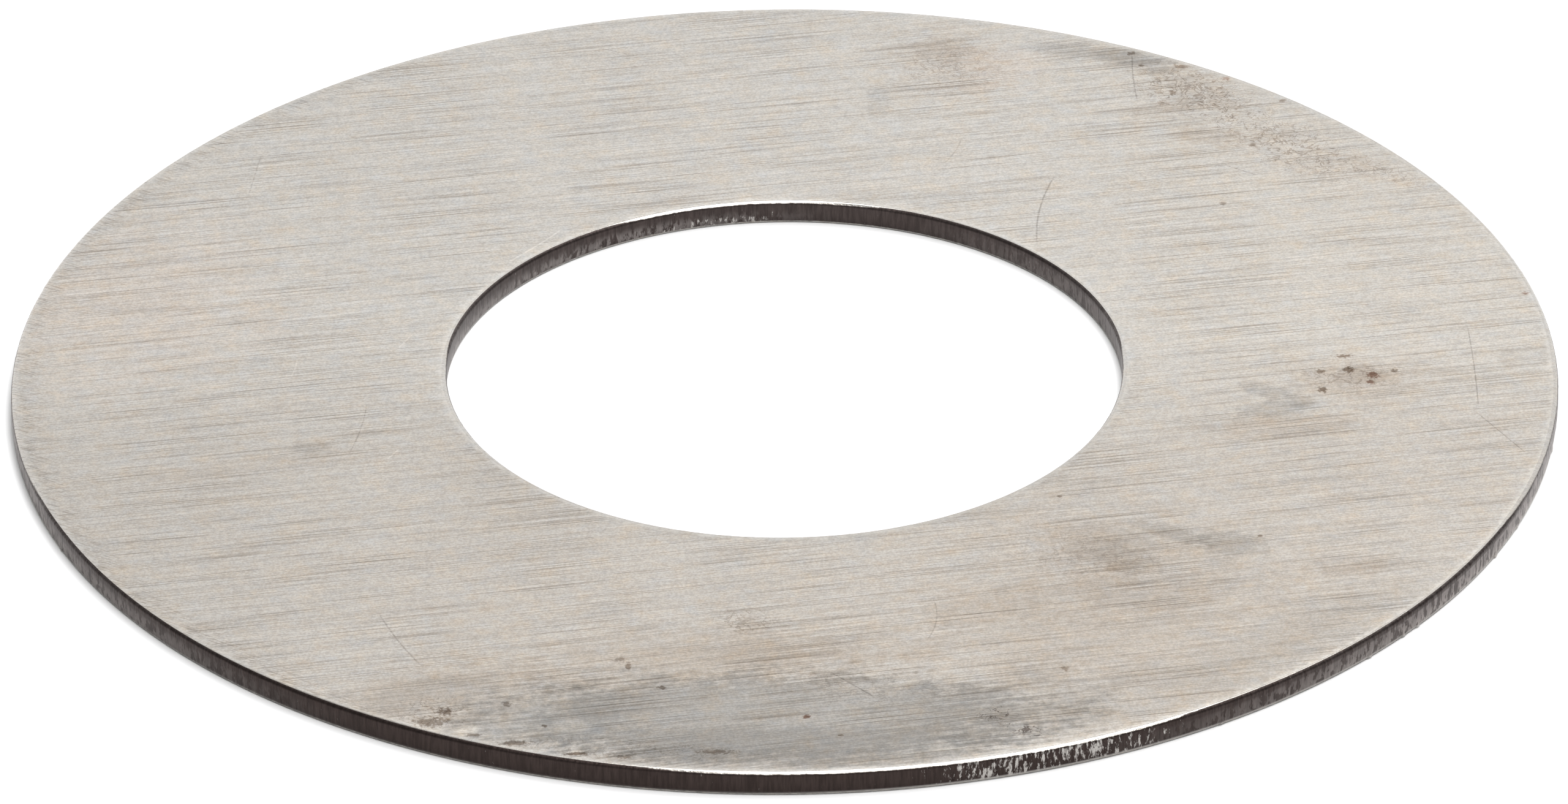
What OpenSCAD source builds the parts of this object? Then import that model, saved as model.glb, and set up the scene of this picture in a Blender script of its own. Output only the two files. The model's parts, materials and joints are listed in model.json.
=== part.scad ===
// Thin flat washer, blanked and pierced from ground steel strip.
// One solid ring in millimetres. Z = 0 is the lower face, and the Z axis runs through the hole.

/* [Body] */
// Outside diameter of the ring
outer_d = 50.8; // [48:0.1:76]
// Diameter of the hole, at the smooth land that the punch leaves
hole_d = 22.225; // [10:0.005:40]
// Thickness of the strip
thick = 0.794; // [0.6:0.001:3]

/* [Sheared edges] */
// Radius that the cut rolls onto the upper face, at the rim and at the hole
roll_r = 0.2; // [0.05:0.01:0.3]
// Height of the rough break below the smooth land, from the lower face
break_h = 0.25; // [0.15:0.01:0.28]
// Distance that the break leans into the metal, at the lower face
break_lean = 0.03; // [0.01:0.01:0.05]
// Radius of the worn lower edges
worn_r = 0.06; // [0.02:0.01:0.08]

/* [Hidden] */
$fn = 180;
outer_r = outer_d / 2;
hole_r = hole_d / 2;
// Angle inside the metal, where the leaning break meets the lower face
break_corner = 90 + atan(break_lean / break_h);
// Distance that a waste corner stands clear of the section, for a clean cut
clear = 0.1;

// The sharp tip that a round of radius r takes off a corner. The corner is at the origin, with
// one side along +X and the other at the given angle inside the metal.
module corner_waste(r, angle) {
    reach = r / tan(angle / 2);
    wall_point = reach * [cos(angle), sin(angle)];
    wall_out = [-sin(angle), cos(angle)];
    difference() {
        polygon([[reach, r], [reach, -clear], [-clear, -clear], wall_point + clear * wall_out]);
        translate([reach, r]) circle(r);
    }
}

// The section as the tools shear it: a straight land above and a leaning break below.
module sheared_section() {
    polygon([
        [hole_r + break_lean, 0],
        [outer_r - break_lean, 0],
        [outer_r, break_h],
        [outer_r, thick],
        [hole_r, thick],
        [hole_r, break_h]
    ]);
}

// Half of the ring's cross-section, with its four corners rounded.
module ring_section() {
    difference() {
        sheared_section();
        translate([hole_r, thick]) mirror([0, 1]) corner_waste(roll_r, 90);
        translate([outer_r, thick]) rotate(180) corner_waste(roll_r, 90);
        translate([hole_r + break_lean, 0]) corner_waste(worn_r, break_corner);
        translate([outer_r - break_lean, 0]) mirror([1, 0]) corner_waste(worn_r, break_corner);
    }
}

// The whole washer: one ring, solid steel all through.
module flat_washer() {
    color([0.80, 0.78, 0.75]) rotate_extrude() ring_section();
}

flat_washer();
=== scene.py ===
import json
import math

import bmesh
import bpy
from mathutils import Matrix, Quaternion, Vector


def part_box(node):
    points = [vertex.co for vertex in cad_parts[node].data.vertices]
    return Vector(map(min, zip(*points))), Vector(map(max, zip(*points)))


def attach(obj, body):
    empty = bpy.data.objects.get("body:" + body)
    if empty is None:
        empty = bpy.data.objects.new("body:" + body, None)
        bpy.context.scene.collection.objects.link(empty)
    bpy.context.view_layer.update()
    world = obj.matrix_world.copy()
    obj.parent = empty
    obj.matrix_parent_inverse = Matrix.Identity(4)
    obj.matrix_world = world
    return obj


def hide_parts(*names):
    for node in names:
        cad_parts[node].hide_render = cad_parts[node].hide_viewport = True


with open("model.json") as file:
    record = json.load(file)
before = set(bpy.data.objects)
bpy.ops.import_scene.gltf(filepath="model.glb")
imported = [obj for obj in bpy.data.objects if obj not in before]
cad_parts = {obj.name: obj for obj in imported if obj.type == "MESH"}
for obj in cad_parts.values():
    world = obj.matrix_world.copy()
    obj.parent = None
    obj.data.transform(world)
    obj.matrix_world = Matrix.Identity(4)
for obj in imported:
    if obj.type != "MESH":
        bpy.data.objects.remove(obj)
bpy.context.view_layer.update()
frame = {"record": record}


# The washer is one ring, pierced and blanked from thin belt-ground steel strip. The punch rolls the upper
# edge of each wall over, leaves a smooth land below it and tears the rest, which stays dark with scale.
# Nothing is fixed to it: the ring is the whole object.
MM = 0.001
low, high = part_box("flat_washer")
thick = high.z - low.z
outer_r = (high.x - low.x) / 2
bolt_hole = next(mount for mount in frame["record"]["mounts"] if mount["name"] == "bolt_hole")
hole_r = bolt_hole["dims"]["r_mm"] * MM
middle_r = (outer_r + hole_r) / 2
roll_r = 0.13 * MM
roll_sag = 0.04
face_sink = roll_sag * roll_r
sink_reach = 0.6 * MM
break_h = 0.25 * MM
break_lean = 0.03 * MM
worn_r = 0.06 * MM
columns = 2600
hair = 0.001 * MM


def pick(piece, test):
    """Selects the vertices of a piece that stand where a test says, with the edges between them."""
    bpy.ops.mesh.select_all(action="DESELECT")
    cage = bmesh.from_edit_mesh(piece.data)
    for vertex in cage.verts:
        vertex.select = test(vertex.co)
    cage.select_flush(True)
    bmesh.update_edit_mesh(piece.data)


# The cut through one side of the ring: a plate stood on edge, with its face taken out to leave the outline.
bpy.ops.object.select_all(action="DESELECT")
bpy.ops.mesh.primitive_plane_add(
    size=thick, enter_editmode=True, location=(middle_r, 0, thick / 2), rotation=(math.pi / 2, 0, 0))
washer = bpy.context.object
washer.name = washer.data.name = "ground_washer"
bpy.ops.transform.resize(value=((outer_r - hole_r) / thick, 1, 1))
bpy.ops.object.mode_set(mode="OBJECT")
bpy.ops.object.transform_apply(location=True, rotation=True, scale=True)
bpy.ops.object.mode_set(mode="EDIT")
bpy.ops.mesh.select_all(action="SELECT")
bpy.ops.mesh.delete(type="ONLY_FACE")

# The torn part of each wall leans into the metal below the land, and its lower corner is worn round.
bpy.ops.mesh.select_all(action="SELECT")
bpy.ops.mesh.bisect(plane_co=(0, 0, break_h), plane_no=(0, 0, 1))
pick(washer, lambda at: at.z < hair and at.x > middle_r)
bpy.ops.transform.translate(value=(-break_lean, 0, 0))
pick(washer, lambda at: at.z < hair and at.x < middle_r)
bpy.ops.transform.translate(value=(break_lean, 0, 0))
pick(washer, lambda at: at.z < hair)
bpy.ops.mesh.bevel(offset=worn_r, segments=3, profile=0.5, affect="VERTICES")

# The punch rolls the upper corners over, and the face sinks a little towards each roll.
pick(washer, lambda at: at.z > thick - hair)
bpy.ops.mesh.bevel(offset=roll_r, segments=6, profile=0.5, affect="VERTICES")
pick(washer, lambda at: at.z > thick - roll_r - hair)
bpy.ops.transform.resize(value=(1, 1, 1 - roll_sag), center_override=(middle_r, 0, thick - roll_r))
for sink_start in (hole_r + sink_reach, outer_r - sink_reach, outer_r - 2 * sink_reach):
    pick(washer, lambda at: at.z > thick - face_sink - hair)
    bpy.ops.mesh.bisect(plane_co=(sink_start, 0, 0), plane_no=(1, 0, 0))
flat_half = (outer_r - hole_r) / 2 - sink_reach + hair
pick(washer, lambda at: at.z > thick - roll_r / 2 and abs(at.x - middle_r) < flat_half)
bpy.ops.transform.translate(value=(0, 0, face_sink))

# Rows along the land and the break carry the torn relief, then the outline is spun into the ring.
pick(washer, lambda at: break_h - hair < at.z < thick - roll_r + hair)
bpy.ops.mesh.subdivide(number_cuts=2)
pick(washer, lambda at: worn_r / 2 < at.z < break_h + hair)
bpy.ops.mesh.subdivide(number_cuts=1)
bpy.ops.object.mode_set(mode="OBJECT")
bpy.ops.object.modifier_add(type="SCREW")
turning = washer.modifiers[-1]
turning.angle = 2 * math.pi
turning.steps = turning.render_steps = columns
turning.use_merge_vertices = True
turning.merge_threshold = hair
bpy.ops.object.modifier_apply(modifier=turning.name)
bpy.ops.object.mode_set(mode="EDIT")
bpy.ops.mesh.select_all(action="SELECT")
bpy.ops.mesh.normals_make_consistent(inside=False)
bpy.ops.object.mode_set(mode="OBJECT")


def cloud_texture(name, depth):
    """A cloud texture for a relief, with blobs about as large as the guide's scale."""
    texture = bpy.data.textures.new(name, "CLOUDS")
    texture.noise_scale = 1.0
    texture.noise_depth = depth
    return texture


def press_relief(piece, texture, rows, guide_scale, depth, rest_level):
    """Pushes a piece's skin in and out along its normals by a cloud texture, in the rows a test picks."""
    patch = piece.vertex_groups.new(name=texture.name)
    patch.add([vertex.index for vertex in piece.data.vertices if rows(vertex.co)], 1.0, "REPLACE")
    bpy.ops.object.empty_add(location=(0, 0, 0))
    guide = bpy.context.object
    guide.scale = guide_scale
    bpy.ops.object.select_all(action="DESELECT")
    piece.select_set(True)
    bpy.context.view_layer.objects.active = piece
    bpy.ops.object.modifier_add(type="DISPLACE")
    relief = piece.modifiers[-1]
    relief.texture = texture
    relief.texture_coords = "OBJECT"
    relief.texture_coords_object = guide
    relief.vertex_group = patch.name
    relief.strength = depth
    relief.mid_level = rest_level
    bpy.ops.object.modifier_apply(modifier=relief.name)
    piece.vertex_groups.remove(piece.vertex_groups[texture.name])
    bpy.data.objects.remove(guide)


# The torn metal stands in short upright ridges, the rolls waver, and burrs hang on the lower outer edge.
ridge_width, ridge_length, ridge_depth = 0.25 * MM, 0.9 * MM, 0.012 * MM
press_relief(washer, cloud_texture("upright ridges", 2), lambda at: worn_r < at.z < thick - roll_r / 2,
             guide_scale=(ridge_width, ridge_width, ridge_length), depth=ridge_depth, rest_level=0.5)
waver_width, waver_depth = 0.7 * MM, 0.005 * MM
press_relief(washer, cloud_texture("wavering roll", 1),
             lambda at: thick - roll_r < at.z < thick - face_sink - hair,
             guide_scale=(waver_width, waver_width, waver_width), depth=waver_depth, rest_level=0.5)
burr_turns = (-11.0, -22.5, -27.0, -38.5, -40.2, -44.0, -58.0, 96.0, 137.0, 143.5, 204.0)
burr_half_turn = 0.22
burr_width, burr_length, burr_depth = 0.3 * MM, 2.0 * MM, 0.07 * MM


def on_burr(at):
    """Whether a place is on the lower outer edge, at one of the burrs."""
    turn = math.degrees(math.atan2(at.y, at.x))
    near = any(abs(math.remainder(turn - burr, 360)) < burr_half_turn for burr in burr_turns)
    return near and worn_r - hair < at.z < break_h / 2 and at.xy.length > middle_r


press_relief(washer, cloud_texture("burrs", 0), on_burr,
             guide_scale=(burr_width, burr_width, burr_length), depth=burr_depth, rest_level=0.0)
sharp_turn = math.radians(50)
bpy.ops.object.shade_smooth_by_angle(angle=sharp_turn)
bpy.ops.object.modifier_add(type="WEIGHTED_NORMAL")
washer.modifiers[-1].keep_sharp = True
bpy.ops.object.modifier_apply(modifier=washer.modifiers[-1].name)


def lay(tree, kind, wires=None, **settings):
    """Adds a shader node with its settings, each named input a plain value or another node's output."""
    node = tree.nodes.new("ShaderNode" + kind)
    for name, value in settings.items():
        setattr(node, name, value)
    for socket, value in (wires or {}).items():
        if isinstance(value, bpy.types.NodeSocket):
            tree.links.new(value, node.inputs[socket])
        else:
            node.inputs[socket].default_value = value
    return node


def work(tree, operation, *values):
    """The result of a sum on numbers."""
    return lay(tree, "Math", dict(enumerate(values)), operation=operation).outputs[0]


def times(tree, *values):
    """The product of two or more numbers."""
    product = values[0]
    for value in values[1:]:
        product = work(tree, "MULTIPLY", product, value)
    return product


def vector_work(tree, operation, *values):
    """The result of a sum on vectors."""
    return lay(tree, "VectorMath", dict(enumerate(values)), operation=operation).outputs[0]


def fade(tree, value, start, end, at_start=0.0, at_end=1.0):
    """A number that eases from one level to another while a value passes from start to end."""
    wires = {"Value": value, "From Min": start, "From Max": end, "To Min": at_start, "To Max": at_end}
    return lay(tree, "MapRange", wires, interpolation_type="SMOOTHSTEP").outputs["Result"]


def tint(tree, share, under, over, how="MIX"):
    """One colour laid over another."""
    return lay(tree, "Mix", {0: share, 6: under, 7: over}, data_type="RGBA", blend_type=how).outputs[2]


def clouds(tree, place, size, detail=2.0, roughness=0.5, wander=0.0):
    """Soft noise whose blobs are about one size across, in millimetres."""
    wires = {"Vector": place, "Scale": 1 / size, "Detail": detail, "Roughness": roughness,
             "Distortion": wander}
    return lay(tree, "TexNoise", wires).outputs["Fac"]


def pattern(name, inputs, outputs):
    """An empty node group with named sockets: gives the group, what comes in and what goes out."""
    group = bpy.data.node_groups.new(name, "ShaderNodeTree")
    for socket, kind in inputs.items():
        group.interface.new_socket(socket, in_out="INPUT", socket_type="NodeSocket" + kind)
    for socket, kind in outputs.items():
        group.interface.new_socket(socket, in_out="OUTPUT", socket_type="NodeSocket" + kind)
    return group, group.nodes.new("NodeGroupInput").outputs, group.nodes.new("NodeGroupOutput").inputs


def measured(group, place, come):
    """How far a place lies along a pattern's direction and across it, as shares of the pattern's reach."""
    return [lay(group, "VectorMath", {0: place, 1: come[way]}, operation="DOT_PRODUCT").outputs["Value"]
            for way in ("Along", "Across")]


def belt_line_pattern():
    """Fine straight lines that a grinding belt leaves: noise drawn out along one direction."""
    group, come, go = pattern("belt lines", {
        "Along": "Vector", "Across": "Vector", "Place": "Vector", "Start": "Float", "End": "Float",
    }, {"Line": "Float"})
    along, across = measured(group, come["Place"], come)
    drawn = lay(group, "CombineXYZ", {0: along, 1: across}).outputs[0]
    noise = lay(group, "TexNoise", {"Vector": drawn, "Scale": 1.0, "Detail": 1.0, "Roughness": 0.6},
                noise_dimensions="2D").outputs["Fac"]
    group.links.new(fade(group, noise, come["Start"], come["End"]), go["Line"])
    return group


def needle_pattern():
    """Separate short scratches of unequal depth: drawn-out cells, each with one thin sliver in it."""
    group, come, go = pattern("needle scratches", {
        "Along": "Vector", "Across": "Vector", "Place": "Vector", "Rarity": "Float",
    }, {"Line": "Float"})
    along, across = measured(group, come["Place"], come)
    drawn = lay(group, "CombineXYZ", {0: along, 1: across}).outputs[0]
    cells = lay(group, "TexVoronoi", {"Vector": drawn, "Scale": 1.0, "Randomness": 1.0},
                voronoi_dimensions="2D", feature="F1").outputs
    draw = lay(group, "SeparateColor", {"Color": cells["Color"]}).outputs
    depth = fade(group, draw[0], come["Rarity"], 1.0)
    sliver_edge, sliver_core = 0.34, 0.06
    sliver = fade(group, cells["Distance"], sliver_edge, sliver_core)
    group.links.new(times(group, sliver, depth), go["Line"])
    return group


def stain_pattern():
    """One stain: a patch with a frayed edge that tints the colour under it and adds to a cover mask."""
    group, come, go = pattern("stain", {
        "Colour": "Color", "Cover": "Float", "Place": "Vector", "Fray": "Float", "Centre": "Vector",
        "Along": "Vector", "Across": "Vector", "Ragged": "Float", "Soft": "Float", "Depth": "Float",
        "Tint": "Color",
    }, {"Colour": "Color", "Cover": "Float"})
    off_centre = vector_work(group, "SUBTRACT", come["Place"], come["Centre"])
    along, across = measured(group, off_centre, come)
    spread = lay(group, "CombineXYZ", {0: along, 1: across}).outputs[0]
    far = lay(group, "VectorMath", {0: spread}, operation="LENGTH").outputs["Value"]
    edge = work(group, "MULTIPLY_ADD", come["Fray"], come["Ragged"], far)
    start, end = work(group, "ADD", 1.0, come["Soft"]), work(group, "SUBTRACT", 1.0, come["Soft"])
    mask = times(group, fade(group, edge, start, end), come["Depth"])
    group.links.new(tint(group, mask, come["Colour"], come["Tint"], "MULTIPLY"), go["Colour"])
    group.links.new(work(group, "MAXIMUM", come["Cover"], mask), go["Cover"])
    return group


def hair_scratch_pattern():
    """One hair-fine scratch: a thin bent line of a set length, broken in places, added to a line mask."""
    group, come, go = pattern("hair scratch", {
        "Line": "Float", "Place": "Vector", "Breaks": "Float", "Centre": "Vector",
        "Along": "Vector", "Across": "Vector", "Bend": "Float", "Width": "Float", "Depth": "Float",
    }, {"Line": "Float"})
    off_centre = vector_work(group, "SUBTRACT", come["Place"], come["Centre"])
    along, across = measured(group, off_centre, come)
    bow = times(group, along, along, come["Bend"])
    line = fade(group, work(group, "ABSOLUTE", work(group, "SUBTRACT", across, bow)), come["Width"], 0.0)
    ends = fade(group, work(group, "ABSOLUTE", along), 1.0, 0.7)
    mask = times(group, line, ends, come["Breaks"], come["Depth"])
    group.links.new(work(group, "MAXIMUM", come["Line"], mask), go["Line"])
    return group


def direction(turn, reach=1.0):
    """A flat direction turned anticlockwise from +X, in degrees, shortened so that reach counts as one."""
    return (math.cos(math.radians(turn)) / reach, math.sin(math.radians(turn)) / reach, 0)


belt_lines = belt_line_pattern()
needles = needle_pattern()
stain = stain_pattern()
hair_scratch = hair_scratch_pattern()

steel = bpy.data.materials.new("ground steel")
steel.use_nodes = True
tree = steel.node_tree
finish = tree.nodes["Principled BSDF"]

# Places on the ring in millimetres: across it, up it, and in from each of its edges.
place = lay(tree, "VectorMath", {0: lay(tree, "TexCoord").outputs["Object"], "Scale": 1 / MM},
            operation="SCALE").outputs[0]
side = lay(tree, "SeparateXYZ", {0: place}).outputs
flat_place = lay(tree, "CombineXYZ", {0: side["X"], 1: side["Y"]}).outputs[0]
radius = lay(tree, "VectorMath", {0: flat_place}, operation="LENGTH").outputs["Value"]
OUTER, HOLE, TOP = outer_r / MM, hole_r / MM, thick / MM
from_rim = work(tree, "SUBTRACT", OUTER, radius)
from_hole = work(tree, "SUBTRACT", radius, HOLE)
from_edge = work(tree, "MINIMUM", from_rim, from_hole)
upper_face = fade(tree, side["Z"], TOP - 0.30, TOP - 0.10)
coarse = work(tree, "SUBTRACT", clouds(tree, place, size=1.5, detail=3.0, roughness=0.6), 0.5)
fine = work(tree, "SUBTRACT", clouds(tree, place, size=0.28, detail=2.0, roughness=0.6), 0.5)


# The ground face: warm grey steel with small faint patches of warmer and of cooler metal. Towards the front
# it is darkened with painted shade that offsets the softbox's glow there, and it is a touch darker at the
# back right.
CLEAN_STEEL = (0.528, 0.506, 0.474, 1)
WARMER, COOLER = (1.052, 0.988, 0.910, 1), (0.948, 0.990, 1.050, 1)
FRONT_PAINTED_SHADE, DULL_RIGHT = (0.885, 0.872, 0.858, 1), (0.985, 0.975, 0.96, 1)
warmth = clouds(tree, place, size=0.9, detail=5.0, roughness=0.8)
colour = tint(tree, fade(tree, warmth, 0.48, 0.72), CLEAN_STEEL, WARMER, "MULTIPLY")
colour = tint(tree, fade(tree, warmth, 0.52, 0.28), colour, COOLER, "MULTIPLY")
# Painted shade: the front of the face is darkened.
front_shade_mask = fade(tree, side["Y"], 3.0, -7.0)
front_shade_mask = times(tree, front_shade_mask, fade(tree, side["X"], -20.0, -4.0, at_start=0.85, at_end=1.0))
colour = tint(tree, front_shade_mask, colour, FRONT_PAINTED_SHADE, "MULTIPLY")
back_right = times(tree, fade(tree, side["X"], 4.0, 18.0), fade(tree, side["Y"], -8.0, 4.0))
colour = tint(tree, back_right, colour, DULL_RIGHT, "MULTIPLY")

# Tarnish on the upper face. Each patch: where it lies, its reach, turn, tint, depth, raggedness and softness.
BLUE_GREY, GREY = (0.66, 0.67, 0.68), (0.78, 0.78, 0.78)
BROWN, FAINT_BROWN = (0.80, 0.765, 0.73), (0.89, 0.865, 0.84)
PINK, LIGHT = (1.01, 0.97, 0.945), (1.32, 1.31, 1.29)
tarnish = (
    ((-10.8, -20.7), (3.4, 1.7), 14, FAINT_BROWN, 1.0, 1.2, 0.5),
    ((-11.2, -20.6), (2.0, 0.9), 20, GREY, 0.45, 1.2, 0.4),
    ((-7.8, -22.2), (2.8, 1.9), 14, BLUE_GREY, 0.55, 1.0, 0.4),
    ((7.4, -21.4), (2.8, 1.9), 24, GREY, 0.60, 1.1, 0.4),
    ((0.0, -24.0), (7.0, 1.4), 0, GREY, 0.95, 0.8, 0.4),
    ((0.0, -24.8), (7.5, 0.9), 0, GREY, 0.60, 0.6, 0.4),
    ((6.0, -16.6), (6.0, 3.4), -10, FAINT_BROWN, 0.45, 1.2, 0.6),
    ((11.4, -17.8), (5.4, 4.0), 30, FAINT_BROWN, 0.75, 1.2, 0.8),
    ((15.5, -11.5), (9.0, 6.5), 45, FAINT_BROWN, 0.45, 0.8, 0.9),
    ((-9.0, -14.0), (7.0, 4.5), -20, FAINT_BROWN, 0.20, 0.8, 0.9),
    ((14.2, -19.6), (9.0, 1.8), 36, GREY, 0.45, 0.6, 0.6),
    ((-2.6, -18.6), (5.8, 1.7), 4, FAINT_BROWN, 1.0, 1.4, 0.6),
    ((-1.0, -18.3), (3.0, 0.8), 4, BROWN, 0.35, 1.4, 0.5),
    ((-0.3, -22.2), (8.8, 2.5), 0, BLUE_GREY, 0.86, 0.8, 0.25),
    ((-2.6, -20.9), (4.4, 1.4), 4, GREY, 0.20, 1.3, 0.5),
    ((5.0, -21.9), (3.2, 1.5), 14, GREY, 0.35, 1.2, 0.5),
    ((9.8, -12.4), (5.0, 3.0), -28, FAINT_BROWN, 0.55, 1.5, 0.6),
    ((10.1, -11.8), (1.8, 1.2), -20, BROWN, 0.45, 1.3, 0.4),
    ((10.8, -12.7), (1.2, 0.8), -40, GREY, 0.5, 1.2, 0.3),
    ((12.2, -11.1), (1.4, 0.4), -28, GREY, 0.8, 1.0, 0.3),
    ((14.2, -11.9), (1.3, 0.7), -24, BLUE_GREY, 0.55, 1.1, 0.3),
    ((6.4, -15.8), (2.0, 0.9), 0, FAINT_BROWN, 0.75, 1.4, 0.5),
    ((17.9, -13.1), (1.2, 0.7), 0, FAINT_BROWN, 1.0, 1.3, 0.4),
    ((18.8, -1.3), (2.2, 1.6), 0, FAINT_BROWN, 1.0, 1.2, 0.5),
    ((18.9, -1.1), (0.9, 0.6), 0, BROWN, 0.8, 1.2, 0.4),
    ((15.7, -2.1), (0.9, 0.45), -32, GREY, 0.8, 1.1, 0.3),
    ((16.0, -3.2), (1.2, 0.5), 8, BLUE_GREY, 0.55, 1.1, 0.3),
    ((16.9, -2.8), (0.6, 0.4), -40, GREY, 0.7, 1.1, 0.3),
    ((15.8, -4.4), (2.4, 0.7), 4, FAINT_BROWN, 1.0, 1.5, 0.5),
    ((23.9, -0.1), (0.4, 0.5), 0, GREY, 0.4, 1.2, 0.4),
    ((10.8, 21.8), (2.3, 0.55), -14, BLUE_GREY, 0.55, 1.1, 0.3),
    ((12.4, 21.0), (1.5, 0.7), -30, GREY, 0.8, 1.2, 0.4),
    ((14.2, 19.2), (2.0, 1.0), -50, BROWN, 0.6, 1.5, 0.4),
    ((13.3, 17.6), (1.5, 0.7), 20, BROWN, 0.5, 1.5, 0.4),
    ((15.2, 17.4), (2.2, 1.2), -40, GREY, 0.25, 1.5, 0.4),
    ((14.8, 15.6), (1.2, 0.7), -10, BROWN, 0.8, 1.3, 0.4),
    ((17.6, 14.4), (3.0, 1.3), -48, FAINT_BROWN, 0.5, 1.8, 0.4),
    ((20.4, 12.9), (1.8, 0.6), -40, FAINT_BROWN, 0.6, 1.5, 0.4),
    ((5.8, 20.9), (2.0, 2.4), 0, FAINT_BROWN, 0.8, 1.8, 0.5),
    ((5.7, 22.0), (0.9, 0.8), 0, BROWN, 0.5, 1.6, 0.4),
    ((3.3, 18.4), (0.45, 1.0), -5, GREY, 0.6, 1.2, 0.3),
    ((7.6, 20.8), (1.6, 1.6), 0, PINK, 0.8, 1.6, 0.5),
    ((-15.3, -5.2), (0.6, 0.4), 0, GREY, 0.7, 1.0, 0.3),
    ((-17.5, -6.5), (3.6, 0.6), 10, FAINT_BROWN, 0.7, 1.4, 0.5),
    ((-21.5, 4.5), (4.0, 5.0), 0, PINK, 0.8, 1.6, 0.6),
    ((-9.9, -22.7), (0.36, 0.32), 0, LIGHT, 0.9, 0.5, 0.3),
    ((-6.65, -22.5), (0.55, 0.38), 0, LIGHT, 0.8, 0.8, 0.35),
    ((4.65, -23.9), (0.42, 0.30), 0, LIGHT, 0.7, 0.8, 0.35),
)


def lines(turn, length, width, start, end):
    """Belt lines all over the ring, about so long and wide, where their noise passes from start to end."""
    wires = {"Place": place, "Along": direction(turn, length), "Across": direction(turn + 90, width),
             "Start": start, "End": end}
    return lay(tree, "Group", wires, node_tree=belt_lines).outputs[0]


def stained(under, cover, fray, marks):
    """Lays a list of stains over a colour and a cover mask."""
    for centre, reach, turn, shade, depth, ragged, soft in marks:
        spot = lay(tree, "Group", {
            "Colour": under, "Cover": cover, "Place": place, "Fray": fray, "Centre": (*centre, 0),
            "Along": direction(turn, reach[0]), "Across": direction(turn + 90, reach[1]), "Ragged": ragged,
            "Soft": soft, "Depth": depth, "Tint": (*shade, 1),
        }, node_tree=stain)
        under, cover = spot.outputs["Colour"], spot.outputs["Cover"]
    return under, cover


# Stains fray with the noise and drag out along the belt's lines. Off the upper face the fray is so large
# that no stain shows.
belt_turn = 10.5
far_off = 9.0
off_face = work(tree, "MULTIPLY_ADD", upper_face, -far_off, far_off)
drag = work(tree, "SUBTRACT", lines(belt_turn, length=1.6, width=0.16, start=0.25, end=0.75), 0.5)
blotch = work(tree, "MULTIPLY_ADD", fine, 0.8, coarse)
upper_fray = work(tree, "MULTIPLY_ADD", drag, 0.3, work(tree, "ADD", blotch, off_face))
colour, film = stained(colour, 0.0, upper_fray, tarnish)

# Etched marks: thin dark curls where damp has crept under dirt.
curl_noise = clouds(tree, place, size=0.6, detail=3.0, roughness=0.7, wander=0.6)
off_curl = work(tree, "ABSOLUTE", work(tree, "SUBTRACT", curl_noise, 0.5))
off_curl = fade(tree, off_curl, 0.0, 0.055, at_start=0.0, at_end=1.6)
curl_fray = work(tree, "ADD", off_curl, work(tree, "ADD", fine, off_face))
ETCH, DEEP_ETCH = (0.62, 0.57, 0.53), (0.40, 0.36, 0.35)
etched = (
    ((6.4, -22.0), (0.6, 0.45), 0, DEEP_ETCH, 1.0, 1.0, 0.4),
    ((7.3, -22.9), (0.7, 0.4), -30, DEEP_ETCH, 1.0, 1.0, 0.4),
    ((-1.4, -16.4), (1.0, 0.8), 0, ETCH, 0.6, 1.0, 0.4),
    ((-1.4, -16.4), (1.2, 0.9), 0, GREY, 0.25, 1.0, 0.4),
    ((-5.2, -23.9), (4.2, 0.7), -6, ETCH, 0.5, 1.0, 0.4),
    ((2.2, -20.4), (3.4, 1.2), -8, ETCH, 0.35, 1.0, 0.5),
    ((9.6, -12.6), (3.0, 1.8), -30, ETCH, 0.4, 1.0, 0.5),
    ((14.2, 18.8), (2.8, 1.6), -48, ETCH, 0.90, 1.0, 0.5),
    ((17.4, 14.8), (3.2, 1.5), -48, ETCH, 0.8, 1.0, 0.5),
    ((5.9, 20.9), (1.8, 1.8), 0, ETCH, 0.55, 1.0, 0.5),
    ((18.6, -1.3), (1.6, 1.0), 0, ETCH, 0.65, 1.0, 0.5),
    ((20.6, 12.8), (1.6, 0.6), -40, ETCH, 0.6, 1.0, 0.5),
    ((-11.0, -21.6), (1.2, 0.9), 0, ETCH, 0.8, 1.0, 0.5),
)
colour, film = stained(colour, film, curl_fray, etched)

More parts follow.
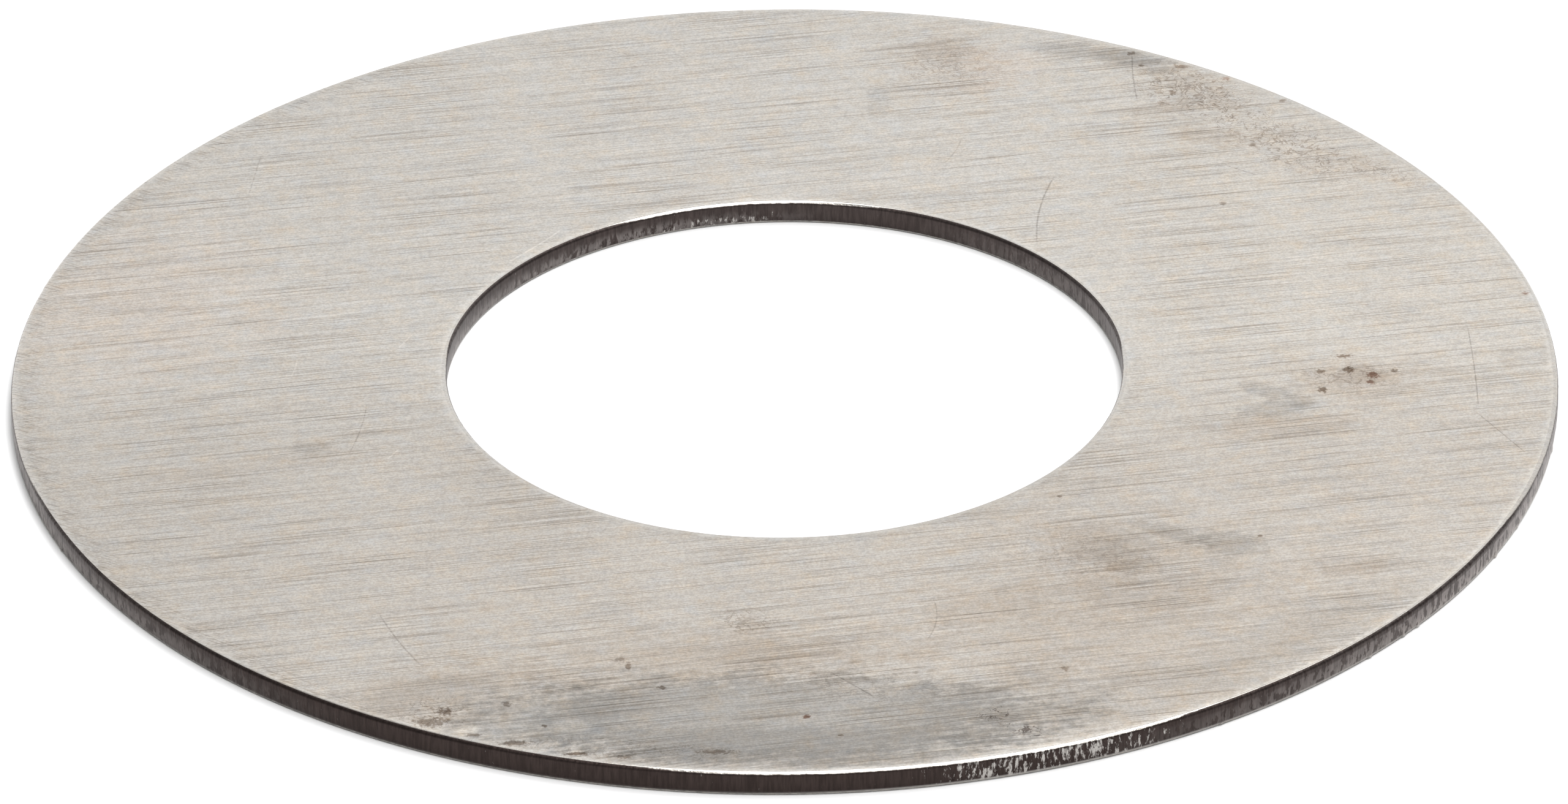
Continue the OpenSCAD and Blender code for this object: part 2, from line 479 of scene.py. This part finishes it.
# Rust: red-brown and near-black specks, thickest at the front rim. Each: its centre, reach, tint and depth.
DARK_RUST, SOFT_RUST, RED_RUST = (0.38, 0.30, 0.24), (0.60, 0.52, 0.46), (0.42, 0.22, 0.15)
rust_specks = (
    ((-10.6, -21.6), (0.24, 0.20), DARK_RUST, 0.8), ((-11.0, -22.2), (0.48, 0.26), DARK_RUST, 0.65),
    ((-9.7, -23.0), (0.20, 0.10), DARK_RUST, 0.6), ((-8.4, -23.5), (0.42, 0.14), DARK_RUST, 0.7),
    ((-6.5, -24.15), (0.34, 0.10), DARK_RUST, 0.8), ((-5.0, -24.35), (0.22, 0.10), DARK_RUST, 0.6),
    ((-2.2, -24.1), (0.50, 0.12), SOFT_RUST, 0.7), ((-8.7, -21.2), (0.13, 0.13), DARK_RUST, 0.6),
    ((-5.2, -18.6), (0.18, 0.14), DARK_RUST, 0.5), ((-4.95, -19.0), (0.08, 0.20), SOFT_RUST, 0.8),
    ((-3.9, -20.3), (0.12, 0.10), DARK_RUST, 0.7), ((-7.5, -22.5), (0.09, 0.08), DARK_RUST, 0.7),
    ((0.6, -22.1), (0.12, 0.10), RED_RUST, 0.8), ((1.6, -23.2), (0.07, 0.07), DARK_RUST, 0.6),
    ((19.3, -1.1), (0.18, 0.20), RED_RUST, 0.75), ((19.2, -1.6), (0.12, 0.14), RED_RUST, 0.7),
    ((18.5, -0.75), (0.16, 0.16), SOFT_RUST, 1.0), ((20.0, -0.85), (0.12, 0.10), DARK_RUST, 0.7),
    ((17.6, -2.05), (0.14, 0.16), DARK_RUST, 0.8), ((17.6, -0.85), (0.14, 0.12), SOFT_RUST, 0.9),
    ((18.4, 0.15), (0.26, 0.10), SOFT_RUST, 1.0), ((12.2, 21.7), (0.14, 0.13), DARK_RUST, 0.7),
    ((12.5, 20.8), (0.08, 0.08), DARK_RUST, 0.6), ((13.9, 20.7), (0.22, 0.14), SOFT_RUST, 0.8),
    ((15.4, 19.8), (0.14, 0.14), RED_RUST, 0.5), ((13.5, 18.8), (0.10, 0.12), SOFT_RUST, 0.7),
    ((13.1, 18.0), (0.18, 0.14), SOFT_RUST, 0.6), ((16.1, 14.9), (0.12, 0.10), SOFT_RUST, 0.6),
    ((17.3, 18.1), (0.10, 0.10), DARK_RUST, 0.6), ((8.65, -19.4), (0.12, 0.12), SOFT_RUST, 0.7),
    ((8.8, -8.8), (0.08, 0.08), DARK_RUST, 0.6), ((15.1, -11.4), (0.08, 0.08), DARK_RUST, 0.6),
    ((24.7, 4.3), (0.10, 0.10), RED_RUST, 0.6), ((14.9, 10.7), (0.09, 0.09), DARK_RUST, 0.6),
)
speck_noise = work(tree, "SUBTRACT", clouds(tree, place, size=0.16, detail=2.0, roughness=0.7), 0.5)
speck_ragged, speck_soft = 3.2, 0.45
specks = [(centre, reach, 0, shade, depth, speck_ragged, speck_soft)
          for centre, reach, shade, depth in rust_specks]
colour, rust = stained(colour, 0.0, work(tree, "ADD", speck_noise, off_face), specks)

# The belt's lines: two sets of fine lines and wide faint bands, then separate scratches, dark or bright,
# of which the dark ones come in clusters.
lined = fade(tree, work(tree, "MULTIPLY_ADD", coarse, 0.5, from_edge), 0.02, 0.40)
weave = lines(belt_turn, length=6.5, width=0.048, start=0.32, end=0.68)
cross_weave = lines(belt_turn + 1.2, length=3.0, width=0.030, start=0.32, end=0.68)
bands = lines(belt_turn, length=14.0, width=0.9, start=0.35, end=0.65)
clusters = lines(belt_turn, length=6.0, width=0.6, start=0.36, end=0.64)
dark_lines = lines(belt_turn - 0.7, length=6.0, width=0.034, start=0.56, end=0.66)
bright_lines = lines(belt_turn + 0.7, length=4.0, width=0.040, start=0.60, end=0.74)
scratches = lay(tree, "Group", {
    "Place": place, "Along": direction(belt_turn, 8.5), "Across": direction(belt_turn + 90, 0.13),
    "Rarity": 0.30}, node_tree=needles).outputs[0]
crowded = fade(tree, clusters, 0.0, 1.0, at_start=0.35, at_end=0.95)
dark = times(tree, work(tree, "MAXIMUM", dark_lines, scratches), crowded, lined)
weave_share, cross_share = 0.55, 0.45
weft = work(tree, "MULTIPLY_ADD", weave, weave_share, times(tree, cross_weave, cross_share))
weft = times(tree, weft, lined)
LINE_SHADE, LINE_SHINE = (0.60, 0.57, 0.54, 1), (1.16, 1.16, 1.16, 1)
band_depth, weft_depth, shine_depth = 0.05, 0.40, 0.8
colour = tint(tree, times(tree, bands, band_depth), colour, LINE_SHADE, "MULTIPLY")
colour = tint(tree, times(tree, weft, weft_depth), colour, LINE_SHADE, "MULTIPLY")
colour = tint(tree, dark, colour, LINE_SHADE, "MULTIPLY")
colour = tint(tree, times(tree, bright_lines, lined, shine_depth), colour, LINE_SHINE, "MULTIPLY")

# Grain of the steel, too fine to make out one by one, and a fainter, wider mottle.
GRAIN_SHADE, MOTTLE_SHADE = (0.84, 0.84, 0.835, 1), (0.92, 0.91, 0.90, 1)
grain = clouds(tree, place, size=0.075, detail=1.0)
colour = tint(tree, fade(tree, grain, 0.35, 0.65), colour, GRAIN_SHADE, "MULTIPLY")
mottle = clouds(tree, place, size=0.40, detail=3.0, roughness=0.7)
colour = tint(tree, fade(tree, mottle, 0.42, 0.70), colour, MOTTLE_SHADE, "MULTIPLY")

# Hair scratches from handling: dark ones and a few bright ones. Each: where its middle is, its half length,
# turn, bend, width and depth.
dark_hairs = (
    ((8.7, 10.5), 2.6, 81, -0.25, 0.05, 0.8), ((-12.2, -17.3), 1.9, -66, 0.10, 0.05, 0.7),
    ((22.65, -0.6), 3.0, 90, 0.05, 0.035, 0.8), ((23.2, -4.9), 1.6, -62, 0.0, 0.035, 0.7),
    ((12.2, 19.9), 1.9, 91, -0.06, 0.04, 0.8), ((-5.6, 22.1), 0.9, -26, 0.05, 0.04, 0.6),
    ((15.6, 13.1), 0.7, -36, 0.0, 0.05, 0.7), ((2.0, -20.2), 1.2, -48, 0.0, 0.05, 0.8),
    ((-13.8, -4.0), 1.7, 82, 0.1, 0.04, 0.6), ((4.7, -16.4), 1.4, 84, 0.25, 0.04, 0.5),
    ((-18.0, 13.4), 1.6, 84, 0.0, 0.04, 0.4), ((5.9, 14.6), 1.0, 70, 0.1, 0.04, 0.4),
)
bright_hairs = (
    ((-8.3, 8.2), 1.5, 52, 0.06, 0.05, 0.9), ((-16.1, 0.0), 0.7, 82, 0.05, 0.05, 0.6),
    ((-12.5, 1.8), 0.6, 64, 0.0, 0.05, 0.6), ((-12.7, -5.7), 0.4, 60, 0.0, 0.05, 0.7),
)
breaks = times(tree, fade(tree, grain, 0.25, 0.5, at_start=0.4, at_end=1.0), upper_face)


def hairs_of(marks):
    """One line mask of a list of hair scratches."""
    mask = 0.0
    for centre, reach, turn, bend, width, depth in marks:
        mask = lay(tree, "Group", {
            "Line": mask, "Place": place, "Breaks": breaks, "Centre": (*centre, 0),
            "Along": direction(turn, reach), "Across": direction(turn + 90), "Bend": bend, "Width": width,
            "Depth": depth}, node_tree=hair_scratch).outputs[0]
    return mask


HAIR_SHADE, HAIR_SHINE = (0.55, 0.53, 0.52, 1), (1.30, 1.30, 1.30, 1)
colour = tint(tree, hairs_of(dark_hairs), colour, HAIR_SHADE, "MULTIPLY")
colour = tint(tree, hairs_of(bright_hairs), colour, HAIR_SHINE, "MULTIPLY")

# Along both edges the face is rubbed clean and a little lighter, and short ticks slant across the left rim.
RUBBED_STEEL = (0.56, 0.54, 0.51, 1)
rubbed_depth, tick_turn, tick_depth = 0.35, -31, 0.55
rubbed = fade(tree, work(tree, "MULTIPLY_ADD", fine, 0.6, from_edge), 0.32, 0.08)
colour = tint(tree, times(tree, rubbed, rubbed_depth), colour, RUBBED_STEEL)
by_left_rim = times(tree, fade(tree, from_rim, 1.3, 0.5), fade(tree, side["X"], -8.0, -16.0))
ticks = times(tree, lines(tick_turn, length=0.9, width=0.06, start=0.56, end=0.66), by_left_rim)
colour = tint(tree, times(tree, ticks, tick_depth), colour, LINE_SHADE, "MULTIPLY")


def drawn_clouds(reach, roughness):
    """Noise over the ring with blobs drawn out to a reach along X, Y and Z, in millimetres."""
    drawn = vector_work(tree, "DIVIDE", place, reach)
    return clouds(tree, drawn, size=1.0, detail=3.0, roughness=roughness)


def shade_up_roll(from_side, height, *where):
    """How far the dark scale colour is painted up a roll as painted shade, in millimetres, where the masks
    pick.
    """
    roll_crest, roll_foot = 0.125, 0.06
    return times(tree, *where, fade(tree, from_side, roll_crest, roll_foot, at_end=height))


# The cut walls are dark with scale. Left and right of the front and at both sides of the back of the hole the
# same dark colour is painted up the rolls as painted shade, where they would otherwise catch the softbox.
streaks = drawn_clouds((0.10, 0.10, 0.9), 0.65)
flecks = drawn_clouds((0.19, 0.19, 0.42), 0.6)
chips = drawn_clouds((0.13, 0.13, 0.36), 0.7)
in_hole = fade(tree, radius, middle_r / MM + 0.1, middle_r / MM - 0.1)
on_outside = fade(tree, in_hole, 1.0, 0.0)
bearing = work(tree, "DIVIDE", side["X"], radius)
# Painted shade: the dark scale colour is carried up the rolls at these sides.
roll_shade_left = shade_up_roll(from_rim, 0.10, fade(tree, bearing, -0.08, -0.30), fade(tree, side["Y"], -6.0, -11.0))
roll_shade_right = shade_up_roll(from_rim, 0.11, fade(tree, bearing, 0.42, 0.60), fade(tree, side["Y"], -8.0, -14.0))
hole_sides = work(tree, "MAXIMUM", fade(tree, bearing, -0.40, -0.62), fade(tree, bearing, 0.22, 0.42))
roll_shade_hole = shade_up_roll(from_hole, 0.11, hole_sides, fade(tree, side["Y"], 0.0, 3.0))
all_roll_shade = work(tree, "MAXIMUM", work(tree, "MAXIMUM", roll_shade_left, roll_shade_right), roll_shade_hole)
ragged_edge = 0.05
# The scale mask below also covers the painted shade on the rolls.
scale_and_shade_top = work(tree, "MULTIPLY_ADD", work(tree, "SUBTRACT", flecks, 0.5), ragged_edge, side["Z"])
scale_and_shade_top = work(tree, "SUBTRACT", scale_and_shade_top, times(tree, all_roll_shade, fade(tree, side["Z"], 0.3, 0.5)))
scale_and_roll_shade = times(tree, fade(tree, scale_and_shade_top, TOP - 0.03, TOP - 0.07), fade(tree, scale_and_shade_top, 0.03, 0.09))

# The scale thins towards the sides, most on the right, where torn metal shows between upright mottles. The
# land under the roll keeps more of it. In the hole it has flaked off low down on the left.
OUTER_SCALE, HOLE_SCALE = (0.031, 0.023, 0.021, 1), (0.043, 0.034, 0.032, 1)
FLAKED_SCALE, STREAK_LIFT = (0.130, 0.116, 0.111, 1), (1.55, 1.55, 1.55, 1)
HIGH_TEAR, LOW_TEAR = (0.155, 0.138, 0.132, 1), (0.250, 0.228, 0.215, 1)
thin_right = fade(tree, bearing, 0.32, 0.98)
thin_left = fade(tree, bearing, -0.50, -1.0, at_end=0.65)
less_in_hole = fade(tree, in_hole, 0.0, 1.0, at_start=1.0, at_end=0.35)
thin = times(tree, work(tree, "ADD", thin_right, thin_left), less_in_hole)
land_foot = work(tree, "MULTIPLY_ADD", thin_right, 0.20, TOP - 0.42)
land = fade(tree, side["Z"], land_foot, TOP - 0.14)
land = times(tree, land, fade(tree, work(tree, "ABSOLUTE", bearing), 0.975, 0.90))
flaked = times(tree, fade(tree, side["X"], 3.0, -6.0), fade(tree, side["Z"], 0.60, 0.20),
               fade(tree, flecks, 0.42, 0.54))
scale_shade = tint(tree, in_hole, OUTER_SCALE, tint(tree, flaked, HOLE_SCALE, FLAKED_SCALE))
torn_shade = tint(tree, fade(tree, side["Z"], 0.50, 0.05), HIGH_TEAR, LOW_TEAR)
thinned = times(tree, thin, fade(tree, land, 0.0, 1.0, at_start=1.0, at_end=0.25))
mottles = times(tree, fade(tree, flecks, 0.60, 0.48), thinned)
bare = work(tree, "MAXIMUM", mottles, times(tree, thinned, 0.25))
wall = tint(tree, bare, scale_shade, torn_shade)
wall = tint(tree, fade(tree, streaks, 0.30, 0.70), wall, STREAK_LIFT, "MULTIPLY")

# Right of the front and low at the back of the hole, bright flecks show through the scale: bare metal with
# a painted glint where these walls catch the softbox. The worn lower corner of the outer wall is bare metal
# with a painted reflection of the floor, stronger towards the right.
BARE_METAL_GLINT, WORN_CORNER_SHEEN = (0.41, 0.39, 0.37, 1), (0.46, 0.44, 0.42, 1)
# Painted glint: bright metal flecks only where the walls catch the softbox.
front_glint_window = times(tree, fade(tree, bearing, 0.12, 0.24), fade(tree, bearing, 0.52, 0.40),
                     fade(tree, side["Y"], 0.0, -2.0), on_outside)
back_glint_window = times(tree, fade(tree, side["X"], -6.5, -3.0), fade(tree, side["X"], 0.5, -1.5), in_hole,
                    fade(tree, side["Y"], 0.0, 2.0), fade(tree, side["Z"], 0.5, 0.2))
back_share, glint_lift = 0.9, 0.20
chip_glint_window = work(tree, "MULTIPLY_ADD", back_glint_window, back_share, front_glint_window)
chips_and_glint = fade(tree, work(tree, "MULTIPLY_ADD", chip_glint_window, glint_lift, chips), 0.69, 0.83)
wall = tint(tree, chips_and_glint, wall, BARE_METAL_GLINT)
# Painted reflection of the floor along the worn lower corner, on bare metal.
low_corner_sheen = times(tree, fade(tree, side["Z"], 0.14, 0.06),
                   fade(tree, bearing, -0.15, 0.25, at_start=0.15, at_end=0.8), on_outside)
wall = tint(tree, low_corner_sheen, wall, WORN_CORNER_SHEEN)
colour = tint(tree, scale_and_roll_shade, colour, wall)

# Gloss and relief: the rolls are burnished, the tarnish and the rust are dull, and the walls are rough.
face_rough, line_rough, film_rough, rust_rough = 0.34, 0.06, 0.08, 0.35
roll_rough, scale_rough = 0.17, 0.46
line_cut, streak_swell = 0.0006, 0.020
roughness = work(tree, "MULTIPLY_ADD", weft, line_rough, face_rough)
roughness = work(tree, "MULTIPLY_ADD", film, film_rough, roughness)
roughness = work(tree, "MULTIPLY_ADD", rust, rust_rough, roughness)
burnished = fade(tree, from_edge, 0.22, 0.10)
roughness = lay(tree, "Mix", {0: burnished, 2: roughness, 3: roll_rough}).outputs[0]
roughness = lay(tree, "Mix", {0: scale_and_roll_shade, 2: roughness, 3: scale_rough}).outputs[0]
height = times(tree, weft, -line_cut)
height = work(tree, "MULTIPLY_ADD", times(tree, streaks, scale_and_roll_shade), streak_swell, height)
relief = lay(tree, "Bump", {"Height": height, "Strength": 1.0, "Distance": MM})
tree.links.new(colour, finish.inputs["Base Color"])
tree.links.new(roughness, finish.inputs["Roughness"])
tree.links.new(relief.outputs["Normal"], finish.inputs["Normal"])
finish.inputs["Metallic"].default_value = 1.0
washer.data.materials.append(steel)

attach(washer, "root")
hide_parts("flat_washer")


# The table is a wide pale sheet that the washer lies on.
bpy.ops.object.select_all(action="DESELECT")
sheet_size, sheet_drop = 3.0, 0.02 * MM
bpy.ops.mesh.primitive_plane_add(size=sheet_size, location=(0, 0, low.z - sheet_drop))
table = bpy.context.object
table.name = "pale_table"
sheet = bpy.data.materials.new("pale sheet")
sheet.use_nodes = True
matt = sheet.node_tree.nodes["Principled BSDF"]
matt.inputs["Base Color"].default_value = (0.94, 0.94, 0.94, 1)
matt.inputs["Roughness"].default_value = 0.9
table.data.materials.append(sheet)


# A dim room with one pale wall behind the washer, which its face reflects. The rolls see the dim sides, and
# so they are edged with dark lines.
DIM_SIDES, PALE_WALL = (0.28, 0.28, 0.28, 1), (1.25, 1.25, 1.25, 1)
room = bpy.data.worlds.new("studio room")
room.use_nodes = True
bpy.context.scene.world = room
walls = room.node_tree
toward = lay(walls, "SeparateXYZ", {0: lay(walls, "TexCoord").outputs["Generated"]}).outputs
pale_back = times(walls, fade(walls, toward["Y"], 0.42, 0.66), fade(walls, toward["Z"], 0.70, 0.66))
shade = tint(walls, pale_back, DIM_SIDES, PALE_WALL)
walls.links.new(shade, walls.nodes["Background"].inputs["Color"])

# One long softbox hangs above, a little to the front and right, and shines as a white line on the rolls.
box_glow = 5.2
box_width, box_length = 0.24, 0.98
box_place = (0.08, -0.11, 0.40)
bpy.ops.object.light_add(type="AREA", location=box_place)
softbox = bpy.context.object
softbox.name = "softbox"
softbox.data.shape = "RECTANGLE"
softbox.data.size = box_width
softbox.data.size_y = box_length
softbox.data.energy = box_glow * math.pi * box_width * box_length
softbox.visible_camera = False


# The camera looks down the long way at the ring, far off with a long lens.
camera_distance = 12.36 * outer_r
camera_elevation = math.radians(29.68)
camera_roll = math.radians(-0.54)
look_at = Vector((-0.001 * outer_r, -0.045 * outer_r, 0))
stand = Vector((0, -math.cos(camera_elevation), math.sin(camera_elevation))) * camera_distance
bpy.ops.object.camera_add(location=stand)
camera = bpy.context.object
camera.name = "camera"
camera.rotation_mode = "QUATERNION"
camera.rotation_quaternion = (look_at - stand).to_track_quat("-Z", "Y") @ Quaternion((0, 0, 1), camera_roll)
camera.data.sensor_width = 36.0
camera.data.lens = 218.8
camera.data.clip_start = 0.01
camera.data.clip_end = 10.0
bpy.context.scene.camera = camera
bpy.context.scene.view_settings.view_transform = "Standard"
